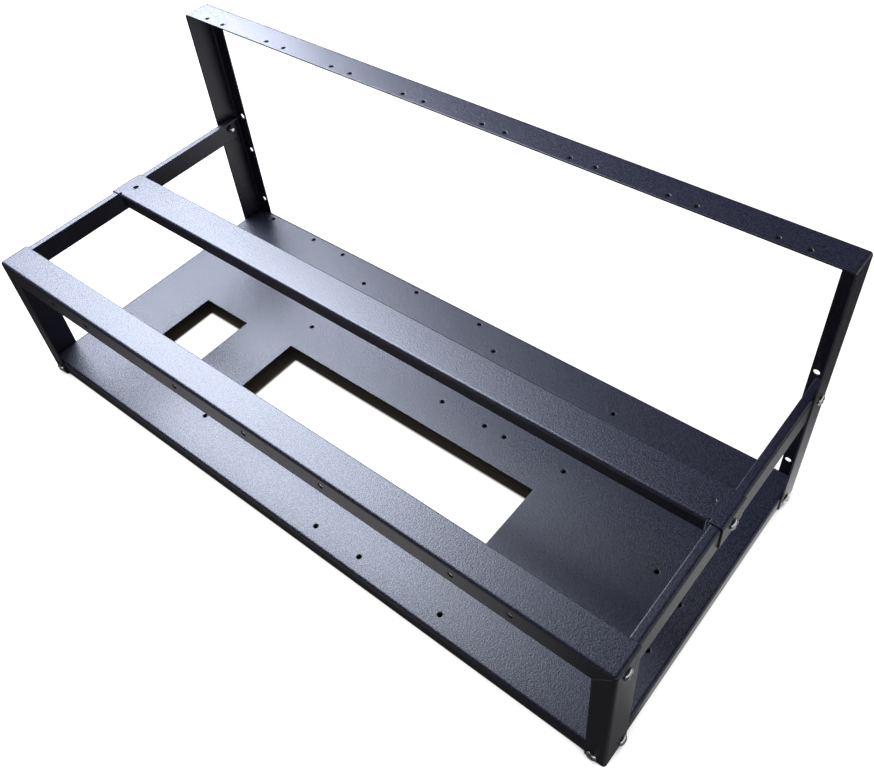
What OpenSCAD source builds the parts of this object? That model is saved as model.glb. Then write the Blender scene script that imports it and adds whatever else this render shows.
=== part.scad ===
// Open frame for a row of graphics cards, folded from steel sheet and screwed together.
// X runs along the length, Y from the front to the back, Z up from the floor.

/* [Frame] */
// Overall length across the legs
frame_l = 605; // [580:1:640]
// Overall depth from front face to back face
frame_d = 270; // [262:1:290]
// Height of the front frame
front_h = 131; // [122:1:150]
// Height of the rear frame
rear_h = 242; // [225:1:260]

/* [Sheet] */
// Sheet thickness
sheet = 1.2; // [1:0.1:1.5]
// Outer radius of every bend
bend_r = 2.5; // [2:0.1:3]
// Slit where two folded flanges meet
seam = 0.4; // [0.2:0.1:0.8]

/* [Front and rear frames] */
// Depth of the front frame's top bar and legs
front_depth = 26; // [24:0.5:32]
// Depth of the rear frame's top bar and legs
rear_depth = 25; // [23:0.5:30]
// Height of the flange along each top bar
bar_flange = 18; // [16:0.5:22]
// Width of the front flange of a front leg
front_leg_flange = 15.5; // [14.5:0.5:20]
// Width of the back flange of a rear leg
rear_leg_flange = 14.5; // [14:0.5:20]
// Distance of the front flange's holes below the top
front_hole_drop = 9; // [7:0.5:10]
// Distances of the front flange's holes from the middle
front_hole_xs = [75.5, 186, 230.5];
// Heights of the accessory holes in the rear legs
leg_hole_zs = [30, 91, 129.5];
// Distance of the accessory holes from the outer face of a rear leg
leg_hole_in = 10.3; // [8:0.1:11]
// Diameter of the accessory holes in the rear legs
leg_hole_d = 5; // [4:0.1:5.5]

/* [Card holes] */
// Number of expansion cards
cards = 8; // [4:1:8]
// Distance from one card to the next
card_pitch = 75.6; // [61:0.1:76]
// Distance between the two bracket screws of a card
bracket_pitch = 20.32; // [19:0.01:24]
// Distance of the bracket holes behind the top bar's front edge
card_hole_in = 5; // [4:0.5:8]
// How far the row of bracket holes sits to the left of the middle
card_shift = 3.3; // [0:0.1:5]
// Diameter of a bracket hole
card_hole_d = 3.6; // [3:0.1:4]

/* [Rails] */
// Width of a side rail's top flange
rail_w = 7.2; // [6:0.1:10]
// Height of a side rail
rail_h = 23; // [20:0.5:25]
// Gap from the front face to a side rail
rail_front_gap = 3; // [2.5:0.5:6]
// Gap from the back face to a side rail
rail_rear_gap = 6; // [3:0.5:6.5]
// Distance from the front face to the middle rail's centre line
middle_y = 133.5; // [120:0.5:150]
// Width of the middle rail
middle_w = 30; // [24:1:40]
// Height of the middle rail's front flange
middle_flange = 12; // [8:0.5:16]
// Height of the tabs at the middle rail's ends
tab_h = 21.5; // [20:0.5:24]
// Gap between the middle rail's front flange and a side rail
rail_gap = 3.5; // [0.5:0.1:5]
// Width of the relief notch where the middle rail's front flange ends
notch_w = 2; // [1:0.1:3]
// Distance of the end holes from the middle rail's ends
middle_hole_in = 15.5; // [12.5:0.5:25]

/* [Tray] */
// Height of the tray's top face
tray_z = 15; // [13.5:0.5:18]
// Gap between the tray's flanges and the floor
floor_gap = 1.5; // [1:0.1:2.5]
// Size of the small cut-out
small_cut = [55.6, 77];
// Size of the large cut-out
large_cut = [271.5, 80.5];
// Distance from the middle to the left edge of the small cut-out
small_left = 237.3; // [233:0.1:245]
// Distance from the middle to the left edge of the large cut-out
large_left = 125.5; // [120:0.1:130]
// Distance from the front face to the near edge of both cut-outs
cut_front = 60; // [50:1:62]

/* [Board holes] */
// Distance from the middle to the board's first column of holes
board_left = 126.6; // [124:0.1:128]
// Distance from the front face to the board's first row of holes
board_front = 14.4; // [12:0.1:16]
// Spacings of the board's columns
board_cols = [157.48, 124.46];
// Spacings of the board's rows
board_rows = [154.94, 72.39];
// Offset of the front hole in the first column
board_offset = 22.86; // [22:0.01:24]
// Diameter of the tray's holes
tray_hole_d = 4; // [3:0.1:4.4]
// Distance of the rear row of tie holes from the back face
tie_rear = 8.7; // [7:0.1:9]
// Distances of the rear tie holes from the tray's left side
tie_xs = [26, 86.3, 127.6, 225.3, 301.3];
// Places of the spare holes, from the middle and from the front face
spare_holes = [[76.6, 14.4], [76.4, 169.5], [96.6, 169.5]];
// Places of the holes near the right side, from that side and from the front face
side_holes = [[42, 135], [16, 79], [16, 121.7]];

/* [Fasteners] */
// Diameter of a screw
screw_d = 4; // [3:0.5:4]
// Length of a screw under its head
screw_len = 6; // [5.5:0.5:8]
// Diameter of a screw's head
head_d = 8.2; // [7:0.1:9]
// Height of a screw's head
head_h = 2.8; // [2.2:0.1:3.5]
// Diameter of a press-in nut's collar
nut_d = 7.4; // [6.8:0.1:8]
// Height of a press-in nut's collar
nut_h = 2; // [1.4:0.1:2.6]
// Diameter of a press-in nut's shank, inside the sheet
nut_shank_d = 5.4; // [5:0.1:6]
// How much wider a hole is than its screw
hole_play = 0.5; // [0.3:0.1:0.8]
// How much wider a hole or bore is than what is pressed or threaded into it
thread_play = 0.1; // [0.05:0.01:0.2]
// Diameter of the accessory holes in the flanges and rails
accessory_d = 4.6; // [3:0.1:5]
// Height of the screws that hold the tray
low_screw_z = 6.5; // [5.5:0.1:7]
// Drop of the screws that hold the rails below the front frame's top
rail_screw_drop = 12; // [9:0.5:14]
// Distance of the front rail screws behind the front face
front_rail_y = 12; // [10:0.5:15]
// Distance of the front tray screws behind the front face
front_tray_y = 20; // [16:0.5:20]
// Distance of the rear rail screws in front of the back face
rear_rail_y = 13; // [12:0.5:15]
// Distance of the rear tray screws in front of the back face
rear_tray_y = 17; // [12:0.5:18]
// Distance of the face screws from a leg's outer face
face_screw_in = 10; // [9:0.1:10.5]

/* [Hidden] */
$fn = 48;
half_l = frame_l / 2;
half_d = frame_d / 2;
web_in = half_l - sheet;
rail_top = front_h - sheet;
rail_screw_z = front_h - rail_screw_drop;
rail_len = frame_d - rail_front_gap - rail_rear_gap;
tray_size = [frame_l - 2 * sheet, frame_d - 2 * sheet];
tray_drop = tray_z - floor_gap;
middle_flange_half = web_in - rail_w - rail_gap;
screw_hole_d = screw_d + hole_play;
nut_hole_d = nut_shank_d + thread_play;
card_first = -(cards - 1) * card_pitch / 2 - bracket_pitch / 2 - card_shift;
through = 40;
steel = [0.13, 0.13, 0.15];
plated = [0.75, 0.75, 0.78];

// Running total of a list of spacings, from zero
function steps(gaps) = [
    for (i = 0, at = 0; i <= len(gaps); at = at + (i < len(gaps) ? gaps[i] : 0), i = i + 1) at
];

// Place along Y of a distance behind the front face
function behind(y) = y - half_d;

// Section of a bend, with the outer corner at the origin
module bend_section() {
    intersection() {
        translate([bend_r, -bend_r]) difference() {
            circle(bend_r);
            circle(bend_r - sheet);
        }
        translate([0, -bend_r]) square(bend_r);
    }
}

// Section of a bend and the leg that hangs from it along -Y
module fold_section(drop) {
    translate([0, -drop]) square([sheet, drop - bend_r]);
    bend_section();
}

// Section of a folded angle: the flat leg runs along +X, the other hangs along -Y
module angle_section(flat, drop) {
    translate([bend_r, -sheet]) square([flat - bend_r, sheet]);
    fold_section(drop);
}

// Lays a section along X, its flat leg towards the back
module along_x(len) {
    rotate([90, 0, 90]) translate([0, 0, -len / 2]) linear_extrude(len) children();
}

// Lays a section along Y, its flat leg towards -X
module along_y(len) {
    rotate([90, 0, 180]) translate([0, 0, -len / 2]) linear_extrude(len) children();
}

module both_ends() {
    children();
    mirror([1, 0, 0]) children();
}

// Round hole along Z through anything near the given height
module hole_z(at, z, d) {
    translate([at[0], at[1], z]) cylinder(d = d, h = through, center = true);
}

module hole_x(y, z, d) {
    translate([half_l, y, z]) rotate([0, 90, 0]) cylinder(d = d, h = through, center = true);
}

module hole_y(x, y, z, d) {
    translate([x, y, z]) rotate([90, 0, 0]) cylinder(d = d, h = through, center = true);
}

// Top bar and two legs folded from one strip, flanges towards the front face at Y = 0
module portal(height, depth, leg_flange) {
    run = [leg_flange - bend_r, bar_flange - bend_r];
    difference() {
        union() {
            translate([0, 0, height]) along_x(frame_l - 2 * bend_r) angle_section(depth, bar_flange);
            both_ends() {
                translate([half_l, 0, 0]) rotate([0, 0, 180]) linear_extrude(height - bend_r)
                    angle_section(leg_flange, depth);
                translate([half_l, (bend_r + depth) / 2, height]) along_y(depth - bend_r)
                    bend_section();
                translate([half_l - bend_r, bend_r, height - bend_r]) corner_shell();
            }
        }
        both_ends() translate([half_l - leg_flange, -sheet, height - bar_flange])
            rotate([0, -atan2(run[1], run[0]), 0])
            translate([-sheet, 0, -seam / 2]) cube([norm(run) + sheet - seam, 3 * sheet, seam]);
    }
}

// Closed corner where three bends meet
module corner_shell() {
    intersection() {
        difference() {
            sphere(bend_r);
            sphere(bend_r - sheet);
        }
        translate([0, -bend_r, 0]) cube(bend_r);
    }
}

module front_frame() {
    color(steel) translate([0, -half_d, 0]) difference() {
        portal(front_h, front_depth, front_leg_flange);
        hole_y(0, 0, front_h - front_hole_drop, accessory_d);
        both_ends() {
            for (x = front_hole_xs) hole_y(x, 0, front_h - front_hole_drop, accessory_d);
            hole_x(front_rail_y, rail_screw_z, screw_hole_d);
            hole_x(front_tray_y, low_screw_z, screw_hole_d);
            hole_y(half_l - face_screw_in, 0, low_screw_z, screw_hole_d);
        }
    }
}

module rear_frame() {
    card_y = rear_depth - card_hole_in;
    color(steel) translate([0, half_d, 0]) mirror([0, 1, 0]) difference() {
        portal(rear_h, rear_depth, rear_leg_flange);
        for (i = [0:cards - 1], side = [0, bracket_pitch])
            hole_z([card_first + i * card_pitch + side, card_y], rear_h, card_hole_d);
        both_ends() {
            for (z = leg_hole_zs) hole_y(half_l - leg_hole_in, 0, z, leg_hole_d);
            hole_x(rear_rail_y, rail_screw_z, screw_hole_d);
            hole_x(rear_tray_y, low_screw_z, screw_hole_d);
            hole_y(half_l - face_screw_in, 0, low_screw_z, screw_hole_d);
        }
    }
}

// Angle along the right side, just inside the legs
module side_rail() {
    mid = behind(rail_front_gap + rail_len / 2);
    color(steel) difference() {
        translate([web_in, mid, rail_top]) along_y(rail_len) angle_section(rail_w, rail_h);
        for (y = [front_rail_y, middle_y, frame_d - rear_rail_y])
            hole_x(behind(y), rail_screw_z, nut_hole_d);
    }
}

module right_side_rail() {
    side_rail();
}

module left_side_rail() {
    mirror([1, 0, 0]) side_rail();
}

// Flat bar with a front flange, notched over the side rails and folded down outside them
module middle_rail() {
    edge = behind(middle_y - middle_w / 2);
    ear = half_l - middle_flange_half - notch_w;
    color(steel) difference() {
        union() {
            translate([0, edge, front_h]) along_x(2 * middle_flange_half)
                angle_section(middle_w, middle_flange);
            both_ends() {
                translate([middle_flange_half, edge + bend_r, rail_top])
                    cube([notch_w, middle_w - bend_r, sheet]);
                translate([half_l, edge + middle_w / 2, front_h]) along_y(middle_w)
                    angle_section(ear, tab_h);
            }
        }
        both_ends() {
            hole_z([half_l - middle_hole_in, behind(middle_y)], front_h, accessory_d);
            hole_x(behind(middle_y), rail_screw_z, screw_hole_d);
        }
    }
}

// Flanges folded down along the tray's four sides, with a notch at each corner
module tray_sides() {
    for (turn = [0:90:270]) {
        across = turn % 180 == 0 ? tray_size : [tray_size[1], tray_size[0]];
        rotate([0, 0, turn]) translate([across[0] / 2, 0, 0])
            along_y(across[1] - 2 * bend_r) fold_section(tray_drop);
    }
}

// Room for a cut-out through the tray, its left side that far left of the middle
module cut_out(left, size) {
    translate([-left, behind(cut_front), tray_z - 2 * sheet]) cube([size[0], size[1], 3 * sheet]);
}

module base_tray() {
    flat = tray_size - 2 * [bend_r, bend_r];
    cols = steps(board_cols);
    rows = steps(board_rows);
    color(steel) difference() {
        union() {
            translate([-flat[0] / 2, -flat[1] / 2, tray_z - sheet]) cube([flat[0], flat[1], sheet]);
            translate([0, 0, tray_z]) tray_sides();
        }
        cut_out(small_left, small_cut);
        cut_out(large_left, large_cut);
        for (col = [0:2], row = [0:2])
            hole_z([cols[col] - board_left,
                behind(board_front + rows[row] + (col == 0 && row == 0 ? board_offset : 0))],
                tray_z, tray_hole_d);
        for (x = tie_xs) hole_z([x - web_in, behind(frame_d - tie_rear)], tray_z, tray_hole_d);
        for (p = spare_holes) hole_z([p[0], behind(p[1])], tray_z, tray_hole_d);
        for (p = side_holes) hole_z([web_in - p[0], behind(p[1])], tray_z, tray_hole_d);
        both_ends() {
            hole_x(behind(front_tray_y), low_screw_z, nut_hole_d);
            hole_x(behind(frame_d - rear_tray_y), low_screw_z, nut_hole_d);
            for (y = [-half_d, half_d]) hole_y(half_l - face_screw_in, y, low_screw_z, nut_hole_d);
        }
    }
}

// Pan head screw along Z, the underside of its head at the origin and its head up
module screw(turn) {
    rim = 0.45 * head_h;
    rise = head_h - rim;
    dome_r = (pow(head_d / 2, 2) + pow(rise, 2)) / (2 * rise);
    slot = 0.13 * head_d;
    tip = 0.6;
    color(plated) {
        difference() {
            intersection() {
                cylinder(d = head_d, h = head_h);
                translate([0, 0, head_h - dome_r]) sphere(dome_r);
            }
            intersection() {
                rotate([0, 0, turn]) for (a = [0, 90]) rotate([0, 0, a])
                    translate([-head_d, -slot / 2, head_h / 3]) cube([2 * head_d, slot, head_h]);
                translate([0, 0, head_h / 3])
                    cylinder(d1 = head_d / 5, d2 = 0.62 * head_d, h = 0.7 * head_h);
            }
        }
        translate([0, 0, tip - screw_len]) cylinder(d = screw_d, h = screw_len - tip);
        translate([0, 0, -screw_len]) cylinder(d1 = screw_d - 2 * tip, d2 = screw_d, h = tip);
    }
}

// Round nut pressed into the inner of two sheets, its axis along Z and its collar inside
module nut() {
    color(steel) translate([0, 0, -2 * sheet]) difference() {
        union() {
            cylinder(d = nut_shank_d, h = sheet);
            translate([0, 0, -nut_h]) cylinder(d = nut_d, h = nut_h);
        }
        translate([0, 0, -nut_h - 1]) cylinder(d = screw_d + thread_play, h = nut_h + sheet + 2);
    }
}

// Sets a fastener at both ends, its head on a leg's outer side
module on_sides(y, z) {
    both_ends() translate([half_l, behind(y), z]) rotate([0, 90, 0]) children();
}

// Sets a fastener at both ends, its head on the front face for dir = 1 or the back face for dir = -1
module on_faces(dir) {
    both_ends() translate([half_l - face_screw_in, -dir * half_d, low_screw_z])
        rotate([dir * 90, 0, 0]) children();
}

module front_rail_screws() {
    on_sides(front_rail_y, rail_screw_z) screw(20);
}

module front_rail_nuts() {
    on_sides(front_rail_y, rail_screw_z) nut();
}

module rear_rail_screws() {
    on_sides(frame_d - rear_rail_y, rail_screw_z) screw(65);
}

module rear_rail_nuts() {
    on_sides(frame_d - rear_rail_y, rail_screw_z) nut();
}

module middle_tab_screws() {
    on_sides(middle_y, rail_screw_z) screw(40);
}

module middle_tab_nuts() {
    on_sides(middle_y, rail_screw_z) nut();
}

module front_tray_screws() {
    on_sides(front_tray_y, low_screw_z) screw(10);
}

module front_tray_nuts() {
    on_sides(front_tray_y, low_screw_z) nut();
}

module rear_tray_screws() {
    on_sides(frame_d - rear_tray_y, low_screw_z) screw(75);
}

module rear_tray_nuts() {
    on_sides(frame_d - rear_tray_y, low_screw_z) nut();
}

module front_face_screws() {
    on_faces(1) screw(30);
}

module front_face_nuts() {
    on_faces(1) nut();
}

module rear_face_screws() {
    on_faces(-1) screw(55);
}

module rear_face_nuts() {
    on_faces(-1) nut();
}

base_tray();
front_frame();
rear_frame();
left_side_rail();
right_side_rail();
middle_rail();
front_rail_screws();
front_rail_nuts();
rear_rail_screws();
rear_rail_nuts();
middle_tab_screws();
middle_tab_nuts();
front_tray_screws();
front_tray_nuts();
rear_tray_screws();
rear_tray_nuts();
front_face_screws();
front_face_nuts();
rear_face_screws();
rear_face_nuts();
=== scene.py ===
import math

import bmesh
import bpy
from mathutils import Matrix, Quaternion, Vector


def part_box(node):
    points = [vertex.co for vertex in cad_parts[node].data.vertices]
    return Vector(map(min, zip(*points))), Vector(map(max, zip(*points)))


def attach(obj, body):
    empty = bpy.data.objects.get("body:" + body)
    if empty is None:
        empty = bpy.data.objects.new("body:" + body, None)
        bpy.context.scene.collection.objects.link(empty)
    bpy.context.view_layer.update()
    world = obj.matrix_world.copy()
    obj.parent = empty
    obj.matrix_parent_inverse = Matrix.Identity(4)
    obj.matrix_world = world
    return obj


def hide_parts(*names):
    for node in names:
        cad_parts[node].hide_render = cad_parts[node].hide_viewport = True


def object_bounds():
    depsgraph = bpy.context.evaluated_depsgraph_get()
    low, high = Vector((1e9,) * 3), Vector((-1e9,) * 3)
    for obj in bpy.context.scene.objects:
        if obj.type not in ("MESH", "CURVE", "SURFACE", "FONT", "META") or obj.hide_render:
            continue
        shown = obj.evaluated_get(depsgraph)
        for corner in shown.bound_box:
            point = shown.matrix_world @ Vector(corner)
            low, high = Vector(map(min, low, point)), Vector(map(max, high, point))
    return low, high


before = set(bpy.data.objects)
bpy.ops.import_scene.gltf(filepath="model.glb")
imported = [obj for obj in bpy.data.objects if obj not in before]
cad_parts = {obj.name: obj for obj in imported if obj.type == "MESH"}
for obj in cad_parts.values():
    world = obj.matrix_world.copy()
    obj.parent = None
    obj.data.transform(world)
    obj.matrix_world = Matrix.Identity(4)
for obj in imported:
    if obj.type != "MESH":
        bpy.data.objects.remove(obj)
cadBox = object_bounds()
print("frame loaded:", len(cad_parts), "nodes")

# Camera where the photograph was taken from, worked out from the frame's known edges
cameraValues = {
    "place": (0.3950, -0.3380, 0.6213),   # metres
    "aim": (0.0307, 0.0380, 0.05),
    "roll": -6.52,                        # degrees
    "focalPixels": 935.6,
    "centrePixel": (441.7, 371.5),
    "photoSize": (874, 768),
    "sensor": 36.0,                       # mm across
    "nearest": 0.01,                      # metres, nothing closer shows
}


def placeCamera(values):
    data = bpy.data.cameras.new("photoCamera")
    camera = bpy.data.objects.new("photoCamera", data)
    bpy.context.scene.collection.objects.link(camera)
    place = Vector(values["place"])
    towards = (Vector(values["aim"]) - place).to_track_quat("-Z", "Y")
    camera.location = place
    camera.rotation_mode = "QUATERNION"
    camera.rotation_quaternion = towards @ Quaternion((0, 0, 1), math.radians(values["roll"]))
    wide, high = values["photoSize"]
    data.sensor_fit = "HORIZONTAL"
    data.sensor_width = values["sensor"]
    data.lens = values["focalPixels"] / wide * values["sensor"]
    data.shift_x = (wide / 2 - values["centrePixel"][0]) / wide
    data.shift_y = (values["centrePixel"][1] - high / 2) / wide
    data.clip_start = values["nearest"]
    bpy.context.scene.camera = camera


placeCamera(cameraValues)
print("camera placed")


# Small helpers for shader trees
def addNode(tree, kind, x, y, **settings):
    node = tree.nodes.new(kind)
    node.location = (x, y)
    for name, value in settings.items():
        setattr(node, name, value)
    return node


def addMath(tree, operation, x, y, first, second, clamp=False):
    node = addNode(tree, "ShaderNodeMath", x, y, operation=operation, use_clamp=clamp)
    for socket, value in zip(node.inputs, (first, second)):
        if isinstance(value, bpy.types.NodeSocket):
            tree.links.new(value, socket)
        else:
            socket.default_value = value
    return node.outputs[0]


def addMap(tree, x, y, value, low, high, toLow=0.0, toHigh=1.0):
    node = addNode(tree, "ShaderNodeMapRange", x, y)
    tree.links.new(value, node.inputs["Value"])
    node.inputs["From Min"].default_value = low
    node.inputs["From Max"].default_value = high
    node.inputs["To Min"].default_value = toLow
    node.inputs["To Max"].default_value = toHigh
    return node.outputs["Result"]


def newGroup(name, inputs, outputs):
    tree = bpy.data.node_groups.new(name, "ShaderNodeTree")
    for label, value in inputs:
        socket = tree.interface.new_socket(label, in_out="INPUT", socket_type="NodeSocketFloat")
        socket.default_value = value
    for label, kind in outputs:
        tree.interface.new_socket(label, in_out="OUTPUT", socket_type=kind)
    return tree, addNode(tree, "NodeGroupInput", -900, 0), addNode(tree, "NodeGroupOutput", 700, 0)


def addNoise(tree, x, y, place, detail):
    noise = addNode(tree, "ShaderNodeTexNoise", x, y)
    tree.links.new(place.outputs["Object"], noise.inputs["Vector"])
    noise.inputs["Detail"].default_value = detail
    return noise


grainValues = {
    "coarseDetail": 2.0,
    "fineDetail": 1.0,
    "noiseRoughness": 0.55,
    "finer": 2.7,                         # fine grains beside one coarse grain
    "speckle": (0.55, 0.95),              # heights where the speckle starts and is full
}


# Fine sand texture of a cured powder coat: height for a Bump node, and a speckle mask
def makeGrainGroup(values):
    tree, given, out = newGroup(
        "powderGrain",
        [("Grains Per Metre", 800.0), ("Fine Share", 0.4)],
        [("Height", "NodeSocketFloat"), ("Speckle", "NodeSocketFloat")])
    place = addNode(tree, "ShaderNodeTexCoord", -900, 300)
    coarse = addNoise(tree, -500, 250, place, values["coarseDetail"])
    fine = addNoise(tree, -500, -50, place, values["fineDetail"])
    for noise in (coarse, fine):
        noise.inputs["Roughness"].default_value = values["noiseRoughness"]
    tree.links.new(given.outputs["Grains Per Metre"], coarse.inputs["Scale"])
    finer = addMath(tree, "MULTIPLY", -700, -100, given.outputs["Grains Per Metre"], values["finer"])
    tree.links.new(finer, fine.inputs["Scale"])
    share = addMath(tree, "MULTIPLY", -200, -50, fine.outputs["Fac"], given.outputs["Fine Share"])
    height = addMath(tree, "ADD", 0, 100, coarse.outputs["Fac"], share)
    tree.links.new(height, out.inputs["Height"])
    tree.links.new(addMap(tree, 200, -100, height, *values["speckle"]), out.inputs["Speckle"])
    return tree


edgeValues = {
    "samples": 6,
    "turned": (0.995, 0.85),              # how far the bevel turns the normal: unworn, worn
    "patchDetail": 3.0,
    "patch": (0.35, 0.65),                # noise levels where a worn patch starts and is full
}


# Where the coat is thin and rubbed: outer corners and cut edges, broken up by a slow noise; the same mask
# also paints a highlight along those edges
def makeEdgeGroup(values):
    tree, given, out = newGroup(
        "edgeWear",
        [("Width", 0.0006), ("Patches Per Metre", 60.0), ("Cover", 0.6)],
        [("Mask", "NodeSocketFloat"), ("Normal", "NodeSocketVector")])
    bevel = addNode(tree, "ShaderNodeBevel", -600, 200, samples=values["samples"])
    tree.links.new(given.outputs["Width"], bevel.inputs["Radius"])
    flat = addNode(tree, "ShaderNodeNewGeometry", -600, 0)
    turn = addNode(tree, "ShaderNodeVectorMath", -400, 100, operation="DOT_PRODUCT")
    tree.links.new(bevel.outputs["Normal"], turn.inputs[0])
    tree.links.new(flat.outputs["Normal"], turn.inputs[1])
    rounded = addMap(tree, -200, 100, turn.outputs["Value"], *values["turned"])
    place = addNode(tree, "ShaderNodeTexCoord", -900, -300)
    patches = addNoise(tree, -400, -250, place, values["patchDetail"])
    tree.links.new(given.outputs["Patches Per Metre"], patches.inputs["Scale"])
    worn = addMap(tree, -200, -250, patches.outputs["Fac"], *values["patch"])
    kept = addMath(tree, "MULTIPLY", 0, -200, worn, given.outputs["Cover"])
    tree.links.new(addMath(tree, "MULTIPLY", 250, 50, rounded, kept, clamp=True), out.inputs["Mask"])
    tree.links.new(bevel.outputs["Normal"], out.inputs["Normal"])
    return tree


handlingValues = {
    "detail": 4.0,
    "middle": 0.5,                        # noise level that leaves the gloss as it is
}


# Slow change of gloss over a sheet, as hands and packing leave it
def makeHandlingGroup(values):
    tree, given, out = newGroup(
        "handlingMarks",
        [("Marks Per Metre", 9.0), ("Depth", 0.05)],
        [("Gloss Change", "NodeSocketFloat")])
    place = addNode(tree, "ShaderNodeTexCoord", -900, 300)
    cloud = addNoise(tree, -500, 200, place, values["detail"])
    tree.links.new(given.outputs["Marks Per Metre"], cloud.inputs["Scale"])
    centred = addMath(tree, "SUBTRACT", -200, 200, cloud.outputs["Fac"], values["middle"])
    change = addMath(tree, "MULTIPLY", 100, 200, centred, given.outputs["Depth"])
    tree.links.new(change, out.inputs["Gloss Change"])
    return tree


grainGroup = makeGrainGroup(grainValues)
edgeGroup = makeEdgeGroup(edgeValues)
handlingGroup = makeHandlingGroup(handlingValues)


def newMaterial(name):
    material = bpy.data.materials.new(name)
    material.use_nodes = True
    tree = material.node_tree
    tree.nodes.clear()
    shader = addNode(tree, "ShaderNodeBsdfPrincipled", 300, 0)
    output = addNode(tree, "ShaderNodeOutputMaterial", 650, 0)
    tree.links.new(shader.outputs["BSDF"], output.inputs["Surface"])
    return material, tree, shader


def placeGroup(tree, group, x, y, values):
    node = addNode(tree, "ShaderNodeGroup", x, y, node_tree=group)
    for name, value in values.items():
        node.inputs[name].default_value = value
    return node


def mixColours(tree, x, y, factor, first, second):
    node = addNode(tree, "ShaderNodeMix", x, y, data_type="RGBA")
    tree.links.new(factor, node.inputs["Factor"])
    for name, colour in (("A", first), ("B", second)):
        if isinstance(colour, bpy.types.NodeSocket):
            tree.links.new(colour, node.inputs[name])
        else:
            node.inputs[name].default_value = colour
    return node.outputs["Result"]


def addBump(tree, shader, height, distance):
    bump = addNode(tree, "ShaderNodeBump", -100, -200)
    bump.inputs["Strength"].default_value = 1.0
    bump.inputs["Distance"].default_value = distance
    tree.links.new(height, bump.inputs["Height"])
    tree.links.new(bump.outputs["Normal"], shader.inputs["Normal"])
    return bump


coatValues = {
    "colour": (0.0029, 0.0027, 0.0068, 1),   # dark blue-black
    "speckle": (0.0125, 0.0118, 0.024, 1),   # high points of the grain
    # rubbed edges, lightened also as a painted edge highlight
    "rubbed": (0.06, 0.06, 0.07, 1),         # thin coat on corners and cut edges
    "roughness": 0.355,
    "roughnessGrain": 0.10,                  # how much the grain changes it
    "grain": {"Grains Per Metre": 780.0, "Fine Share": 0.6},
    "grainHeight": 0.00012,                  # metres
    "edge": {"Width": 0.0012, "Patches Per Metre": 60.0, "Cover": 0.5},
    "handling": {"Marks Per Metre": 9.0, "Depth": 0.06},
    "specular": 0.5,
}


def makePowderCoat(values):
    material, tree, shader = newMaterial("powderCoat")
    grain = placeGroup(tree, grainGroup, -1000, -300, values["grain"])
    edge = placeGroup(tree, edgeGroup, -1000, 300, values["edge"])
    marks = placeGroup(tree, handlingGroup, -1000, 0, values["handling"])
    speckle = grain.outputs["Speckle"]
    speckled = mixColours(tree, -350, 300, speckle, values["colour"], values["speckle"])
    # partly real rubbing, partly a painted edge highlight along corners and cut edges
    coat = mixColours(tree, -100, 300, edge.outputs["Mask"], speckled, values["rubbed"])
    tree.links.new(coat, shader.inputs["Base Color"])
    marked = addMath(tree, "ADD", -600, 100, marks.outputs["Gloss Change"], values["roughness"])
    change = values["roughnessGrain"] / 2
    grained = addMap(tree, -600, -100, speckle, 0, 1, -change, change)
    tree.links.new(addMath(tree, "ADD", -350, 50, marked, grained), shader.inputs["Roughness"])
    bump = addBump(tree, shader, grain.outputs["Height"], values["grainHeight"])
    tree.links.new(edge.outputs["Normal"], bump.inputs["Normal"])
    shader.inputs["Specular IOR Level"].default_value = values["specular"]
    return material


screwValues = {
    "colour": (0.60, 0.59, 0.57, 1),
    "tarnish": (0.38, 0.36, 0.33, 1),
    "roughness": (0.20, 0.36),             # between scratches, in a scratch
    "scratchScale": 2600.0,                # scratches a metre
    "scratch": (0.3, 0.7),                 # noise levels where a scratch starts and is full
    "scratchDetail": 2.0,
    "scratchHeight": 0.00001,              # metres
    "tarnishSize": 6,                      # scratches across a tarnished patch
    "tarnishDetail": 4.0,
    "tarnished": (0.45, 0.75),             # noise levels where the tarnish starts and is full
}


def makePlatedSteel(values):
    material, tree, shader = newMaterial("platedSteel")
    place = addNode(tree, "ShaderNodeTexCoord", -1000, 0)
    tarnish = addNoise(tree, -750, 200, place, values["tarnishDetail"])
    tarnish.inputs["Scale"].default_value = values["scratchScale"] / values["tarnishSize"]
    scratch = addNoise(tree, -750, -200, place, values["scratchDetail"])
    scratch.inputs["Scale"].default_value = values["scratchScale"]
    tarnished = addMap(tree, -480, 250, tarnish.outputs["Fac"], *values["tarnished"])
    plating = mixColours(tree, -250, 200, tarnished, values["colour"], values["tarnish"])
    tree.links.new(plating, shader.inputs["Base Color"])
    rough = addMap(tree, -480, -50, scratch.outputs["Fac"], *values["scratch"], *values["roughness"])
    tree.links.new(rough, shader.inputs["Roughness"])
    addBump(tree, shader, scratch.outputs["Fac"], values["scratchHeight"])
    shader.inputs["Metallic"].default_value = 1.0
    return material


powderCoat = makePowderCoat(coatValues)
platedSteel = makePlatedSteel(screwValues)


def giveMaterial(thing, material):
    thing.data.materials.clear()
    thing.data.materials.append(material)


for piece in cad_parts.values():
    giveMaterial(piece, powderCoat)
print("materials set")

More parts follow.
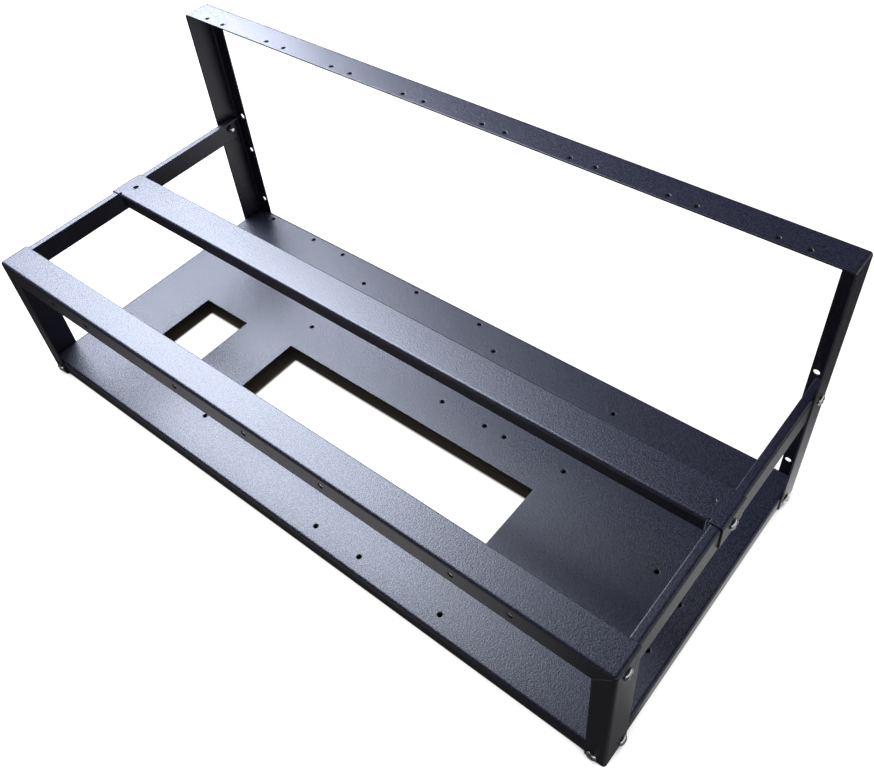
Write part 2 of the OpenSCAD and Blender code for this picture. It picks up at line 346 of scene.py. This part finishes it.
# Pan head screws with a cross recess and a rolled thread
screwSizes = {
    "headRadius": 0.0041,                  # metres, as all lengths below
    "headProfile": [                       # radius and height, from the underside to the top
        (0.0020, 0.0), (0.0039, 0.0), (0.0041, 0.00018), (0.00407, 0.00075), (0.00393, 0.0012),
        (0.00365, 0.0016), (0.0032, 0.00198), (0.0026, 0.0023), (0.0019, 0.00255), (0.0011, 0.0027),
        (0.0, 0.00276)],
    "recess": {
        "top": (0.0023, 0.00062),          # reach and half width of a wing at the head's top
        "bottom": (0.0011, 0.00042),
        "web": 0.00028,                    # what the inner corners are filled out by
        "depth": 0.0019,
        "tip": 0.0004,                     # deeper at the centre
        "above": 0.0003,                   # how far the cutter stands out of the head
    },
    "smoothFrom": 0.0022,                  # radius past which the head is shaded smooth
    "smoothTop": 0.9,                      # and inside it, faces that look up by more than this
    "shank": 0.00195,                      # radius over the thread's crests
    "core": 0.00162,                       # radius at the thread's roots
    "pitch": 0.0007,
    "rowsPerPitch": 12,
    "flank": (2.4, 0.1),                   # steepness of the thread's flanks, width of its root
    "chamfer": 0.9,                        # radius gained for each metre up from the tip
    "length": 0.006,
    "points": 40,                          # points round a screw
    "turned": (23, 37, 11),                # degrees turned: first, per side, per letter of the name
}


def revolve(shape, profile, points):
    rings = []
    for radius, height in profile:
        if radius == 0.0:
            rings.append([shape.verts.new((0, 0, height))])
            continue
        turn = [2 * math.pi * k / points for k in range(points)]
        rings.append([shape.verts.new((radius * math.cos(a), radius * math.sin(a), height)) for a in turn])
    for below, above in zip(rings, rings[1:]):
        for k in range(points):
            after = (k + 1) % points
            if len(above) == 1:
                shape.faces.new((below[k], below[after], above[0]))
            elif len(below) == 1:
                shape.faces.new((below[0], above[after], above[k]))
            else:
                shape.faces.new((below[k], below[after], above[after], above[k]))


def newSolid(name, shape):
    mesh = bpy.data.meshes.new(name)
    bmesh.ops.recalc_face_normals(shape, faces=shape.faces)
    shape.to_mesh(mesh)
    shape.free()
    thing = bpy.data.objects.new(name, mesh)
    bpy.context.scene.collection.objects.link(thing)
    return thing


# The cross recess as a solid: a four-pointed star with straight wings, narrower at the bottom
def makeRecess(values, headTop):
    shape = bmesh.new()
    loops = []
    lidHeight, floorHeight = headTop + values["above"], headTop - values["depth"]
    for (reach, half), height in ((values["top"], lidHeight), (values["bottom"], floorHeight)):
        corner = half + values["web"]
        points = []
        for quarter in range(4):
            turn = quarter * math.pi / 2
            for x, y in ((reach, -half), (reach, half), (corner, corner)):
                across = x * math.cos(turn) - y * math.sin(turn)
                along = x * math.sin(turn) + y * math.cos(turn)
                points.append((across, along))
        loops.append([shape.verts.new((x, y, height)) for x, y in points])
    top, bottom = loops
    for k in range(len(top)):
        after = (k + 1) % len(top)
        shape.faces.new((bottom[k], bottom[after], top[after], top[k]))
    tip = shape.verts.new((0, 0, floorHeight - values["tip"]))
    lid = shape.verts.new((0, 0, lidHeight))
    for k in range(len(top)):
        after = (k + 1) % len(top)
        shape.faces.new((top[k], top[after], lid))
        shape.faces.new((bottom[after], bottom[k], tip))
    return newSolid("crossRecess", shape)


def makeThread(shape, values):
    points, pitch = values["points"], values["pitch"]
    steep, root = values["flank"]
    rows = int(values["length"] / pitch * values["rowsPerPitch"])
    rings = []
    for row in range(rows + 1):
        height = -values["length"] * row / rows
        ring = []
        for k in range(points):
            phase = (height / pitch - k / points) % 1.0
            crest = min(1.0, max(0.0, steep * abs(phase - 0.5) - root))
            radius = values["core"] + (values["shank"] - values["core"]) * crest
            tipRadius = values["core"] + (height + values["length"]) * values["chamfer"]
            radius = min(radius, tipRadius)
            turn = 2 * math.pi * k / points
            ring.append(shape.verts.new((radius * math.cos(turn), radius * math.sin(turn), height)))
        rings.append(ring)
    for above, below in zip(rings, rings[1:]):
        for k in range(points):
            after = (k + 1) % points
            shape.faces.new((below[k], below[after], above[after], above[k]))
    shape.faces.new(rings[-1])


def makeScrewMesh(values):
    shape = bmesh.new()
    revolve(shape, [(0.0, 0.0)] + values["headProfile"], values["points"])
    head = newSolid("screwHead", shape)
    recess = makeRecess(values["recess"], values["headProfile"][-1][1])
    cut = head.modifiers.new("crossRecess", "BOOLEAN")
    cut.operation = "DIFFERENCE"
    cut.solver = "EXACT"
    cut.object = recess
    bpy.context.view_layer.update()
    made = bpy.data.meshes.new_from_object(head.evaluated_get(bpy.context.evaluated_depsgraph_get()))
    for spare in (head, recess):
        bpy.data.objects.remove(spare)
    whole = bmesh.new()
    whole.from_mesh(made)
    for face in whole.faces:
        outside = face.calc_center_median().xy.length > values["smoothFrom"]
        face.smooth = outside or face.normal.z > values["smoothTop"]
    makeThread(whole, values)
    whole.to_mesh(made)
    whole.free()
    return made


# Where the two screws of a CAD node seat, and the way that their heads look
def findSpots(nodeName, values):
    low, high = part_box(nodeName)
    centre = (low + high) / 2
    headTop = values["headProfile"][-1][1]
    spots = []
    for side in (-1, 1):
        if nodeName.endswith("face_screws"):
            outward = Vector((0, 1 if centre.y > 0 else -1, 0))
            seat = (high.y if centre.y > 0 else -low.y) - headTop
            spot = Vector((side * (high.x - values["headRadius"]), outward.y * seat, centre.z))
        else:
            outward = Vector((side, 0, 0))
            spot = Vector((side * (high.x - headTop), centre.y, centre.z))
        spots.append((spot, outward))
    return spots


# One piece per CAD node, with the node's left and right screws
def placeScrews(nodeName, mesh, values):
    first, perSide, perLetter = values["turned"]
    words = nodeName.split("_")
    name = words[0] + "".join(word.capitalize() for word in words[1:])
    shape = bmesh.new()
    for number, (spot, outward) in enumerate(findSpots(nodeName, values)):
        start = len(shape.verts)
        shape.from_mesh(mesh)
        shape.verts.ensure_lookup_table()
        degrees = first + perSide * number + perLetter * len(nodeName)
        turned = Quaternion((0, 0, 1), math.radians(degrees))
        stand = outward.to_track_quat("Z", "Y") @ turned
        for vert in shape.verts[start:]:
            vert.co = spot + stand @ vert.co
    joined = bpy.data.meshes.new(name)
    shape.to_mesh(joined)
    shape.free()
    thing = bpy.data.objects.new(name, joined)
    bpy.context.scene.collection.objects.link(thing)
    giveMaterial(thing, platedSteel)
    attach(thing, "root")
    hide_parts(nodeName)


screwMesh = makeScrewMesh(screwSizes)
for nodeName in sorted(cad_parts):
    if nodeName.endswith("_screws"):
        placeScrews(nodeName, screwMesh, screwSizes)
print("screws made")

# White studio: floor and sky are white to the camera and in reflections; on the floor that white gives way to
# a painted shadow beside and under the frame, with painted light under the tray's cut-outs
studioValues = {
    "floorSize": 12.0,                     # metres
    "floorColour": (0.20, 0.17, 0.14, 1),  # what shows of it in the frame's shade
    "white": 1.0,
    # painted contact shadow: the floor's white fades near the frame, over this reach and openness
    "shadeReach": 0.05,                    # how far the frame keeps the white off the floor, metres
    "shadeSamples": 16,
    "shadeBeside": (0.30, 0.55),           # openness over which the white comes back, beside the frame
    # painted shadow: the floor under the frame's outline loses its white
    "underInset": 0.005,                   # the floor under the frame ends this far inside it, metres
    "underEdge": 0.0001,                   # how softly it ends, metres
    # painted light: white put back on the floor under the tray's cut-outs
    "litBelow": {                          # white through the tray's cut-outs: left, right, front, back
        "large": (-0.1205, 0.1460, -0.0750, 0.0030),
        "small": (-0.2350, -0.1817, -0.0750, -0.0002),
    },
    "litEdge": 0.0012,                     # how softly that white ends, metres
    "skyLevel": 0.25,                      # what the sky gives as light
}


def whiteToView(tree, x, y):
    path = addNode(tree, "ShaderNodeLightPath", x, y)
    seen = addMath(tree, "ADD", x + 200, y, path.outputs["Is Camera Ray"], path.outputs["Is Glossy Ray"])
    return addMath(tree, "ADD", x + 400, y, seen, path.outputs["Is Transmission Ray"], clamp=True)


# The shaded point's own X, Y and Z
def addPlaceAxes(tree, x, y):
    place = addNode(tree, "ShaderNodeTexCoord", x, y)
    axes = addNode(tree, "ShaderNodeSeparateXYZ", x + 200, y)
    tree.links.new(place.outputs["Object"], axes.inputs["Vector"])
    return axes


def newSheet(name, corners, height):
    (left, near), (right, far) = corners
    mesh = bpy.data.meshes.new(name)
    mesh.from_pydata([(left, near, height), (right, near, height), (right, far, height), (left, far, height)],
                     [], [(0, 1, 2, 3)])
    thing = bpy.data.objects.new(name, mesh)
    bpy.context.scene.collection.objects.link(thing)
    return thing


# A mask over the floor, 1 inside the box and 0 outside
def addBoxMask(tree, axes, y, box, soft):
    left, right, front, back = box
    inside = 1.0
    for axis, low, high in (("X", left, right), ("Y", front, back)):
        rise = addMap(tree, -1400, y, axes.outputs[axis], low - soft, low + soft)
        fall = addMap(tree, -1400, y - 250, axes.outputs[axis], high + soft, high - soft)
        both = addMath(tree, "MULTIPLY", -1200, y, rise, fall)
        inside = addMath(tree, "MULTIPLY", -1000, y, both, inside)
        y -= 500
    return inside


def makeFloor(values):
    half = values["floorSize"] / 2
    floor = newSheet("studioFloor", ((-half, -half), (half, half)), 0.0)
    material, tree, shader = newMaterial("studioFloor")
    shader.inputs["Base Color"].default_value = values["floorColour"]
    shader.inputs["Roughness"].default_value = 1.0
    shader.inputs["Specular IOR Level"].default_value = 0.0
    shader.inputs["Emission Color"].default_value = (1, 1, 1, 1)
    # painted contact shadow, from how open the floor is to the sky
    openness = addNode(tree, "ShaderNodeAmbientOcclusion", -700, -550, samples=values["shadeSamples"])
    openness.inputs["Distance"].default_value = values["shadeReach"]
    paintedContactShade = addMap(tree, -450, -550, openness.outputs["AO"], *values["shadeBeside"])
    axes = addPlaceAxes(tree, -1800, -900)
    low, high = cadBox
    inset = values["underInset"]
    under = (low.x + inset, high.x - inset, low.y + inset, high.y - inset)
    # painted shadow under the frame, with painted light under the cut-outs
    paintedShadowFootprint = addBoxMask(tree, axes, -900, under, values["underEdge"])
    below = 0.0
    for number, box in enumerate(values["litBelow"].values(), start=1):
        y = -900 - 1000 * number
        cutOut = addBoxMask(tree, axes, y, box, values["litEdge"])
        below = addMath(tree, "MAXIMUM", -700, y, cutOut, below)
    paintedLightAndShade = addNode(tree, "ShaderNodeMix", -250, -600)
    tree.links.new(paintedShadowFootprint, paintedLightAndShade.inputs["Factor"])
    tree.links.new(paintedContactShade, paintedLightAndShade.inputs["A"])
    tree.links.new(below, paintedLightAndShade.inputs["B"])
    glow = addMath(tree, "MULTIPLY", -100, -300, whiteToView(tree, -700, -300), paintedLightAndShade.outputs["Result"])
    level = addMath(tree, "MULTIPLY", 100, -300, glow, values["white"])
    tree.links.new(level, shader.inputs["Emission Strength"])
    floor.data.materials.append(material)


def makeSky(values):
    world = bpy.data.worlds.new("studioSky")
    bpy.context.scene.world = world
    world.use_nodes = True
    tree = world.node_tree
    back = tree.nodes["Background"]
    back.inputs["Color"].default_value = (1, 1, 1, 1)
    level = addMap(tree, 0, -200, whiteToView(tree, -700, -200), 0, 1, values["skyLevel"], values["white"])
    tree.links.new(level, back.inputs["Strength"])


makeFloor(studioValues)
makeSky(studioValues)

# Painted reflections: a dark dome and a sheet over the floor that only show in reflections, with glowing
# patches and a glowing wall that are no lamps
reflectionValues = {
    "tentRadius": 5.0,                       # metres
    "tentSegments": (48, 24),
    "tentColour": (0.85, 0.9, 1.0, 1),
    "tentLevel": 0.065,
    "tableHeight": 0.0003,                   # metres, just over the floor
    "tableColour": (0.95, 0.95, 1, 1),
    "tableLevel": 0.065,
    # painted reflection patches on the sheet, placed by the frame's own edges
    "glows": {                               # level, then where each one rises to full on X and on Y, metres
        "front": (0.60, {"X": [(-0.40, -0.15), (0.26, 0.11)], "Y": [(-0.14, -0.16)]}),
        "right": (0.46, {"X": [(0.300, 0.303)], "Y": [(-0.17, 0.02), (0.25, 0.16)]}),
        "traySide": (0.85, {"X": [(0.300, 0.303), (0.325, 0.303)], "Y": [(-0.095, -0.075)]}),
        "back": (1.10, {"X": [(-0.31, -0.28), (0.28, 0.18)], "Y": [(0.145, 0.175)]}),
    },
    # painted reflection of a pale wall on the right, a glow on the dome that is no lamp
    "roomLight": (2.2, {"X": [(0.5, 3.0)], "Z": [(-0.6, 0.2), (2.0, 1.2)]}),   # a pale wall on the right
}


def reflectionOnly(thing):
    thing.visible_camera = False
    thing.visible_diffuse = False
    thing.visible_transmission = False
    thing.visible_shadow = False


# A level plus painted glows, each a level and ramps over the object's own X, Y and Z
def addGlows(tree, level, glows):
    axes = addPlaceAxes(tree, -1000, -300)
    y = -300
    for glow, ramps in glows:
        for axis, pairs in ramps.items():
            for start, full in pairs:
                ramp = addMap(tree, -500, y, axes.outputs[axis], start, full)
                glow = addMath(tree, "MULTIPLY", -250, y, ramp, glow)
                y -= 250
        level = addMath(tree, "ADD", 0, y, glow, level)
    return level


def makeReflectionMaterial(name, colour, level, glows):
    material, tree, shader = newMaterial(name)
    shader.inputs["Base Color"].default_value = (0, 0, 0, 1)
    shader.inputs["Specular IOR Level"].default_value = 0.0
    shader.inputs["Emission Color"].default_value = colour
    tree.links.new(addGlows(tree, level, glows), shader.inputs["Emission Strength"])
    return material


def makeReflectionDome(values):
    mesh = bpy.data.meshes.new("darkTent")
    shape = bmesh.new()
    around, upright = values["tentSegments"]
    bmesh.ops.create_uvsphere(shape, u_segments=around, v_segments=upright, radius=values["tentRadius"])
    bmesh.ops.reverse_faces(shape, faces=shape.faces)
    shape.to_mesh(mesh)
    shape.free()
    reflectionDome = bpy.data.objects.new("darkTent", mesh)
    bpy.context.scene.collection.objects.link(reflectionDome)
    material = makeReflectionMaterial("darkTent", values["tentColour"], values["tentLevel"], [values["roomLight"]])
    mesh.materials.append(material)
    reflectionOnly(reflectionDome)


def makeReflectionSheet(values):
    half = values["tentRadius"]
    reflectionSheet = newSheet("tableCloth", ((-half, -half), (half, half)), values["tableHeight"])
    glows = values["glows"].values()
    material = makeReflectionMaterial("tableCloth", values["tableColour"], values["tableLevel"], glows)
    reflectionSheet.data.materials.append(material)
    reflectionOnly(reflectionSheet)


makeReflectionDome(reflectionValues)
makeReflectionSheet(reflectionValues)

# The one soft box that lights the frame, up on the left and a little behind it
windowValues = {
    "place": (-0.531, 0.165, 0.727),         # metres
    "aim": (0, 0, 0),
    "size": (0.55, 0.78),                    # metres
    "radiance": 23.4,                        # watts for each square metre and steradian
    "colour": (0.775, 0.84, 1.0),
}


def placeWindow(name, values):
    wide, high = values["size"]
    data = bpy.data.lights.new(name, "AREA")
    data.shape = "RECTANGLE"
    data.size = wide
    data.size_y = high
    data.energy = values["radiance"] * math.pi * wide * high
    data.color = values["colour"]
    lamp = bpy.data.objects.new(name, data)
    bpy.context.scene.collection.objects.link(lamp)
    place = Vector(values["place"])
    lamp.location = place
    lamp.rotation_mode = "QUATERNION"
    lamp.rotation_quaternion = (Vector(values["aim"]) - place).to_track_quat("-Z", "Y")


placeWindow("window", windowValues)

bpy.context.scene.view_settings.view_transform = "Standard"
print("studio set")
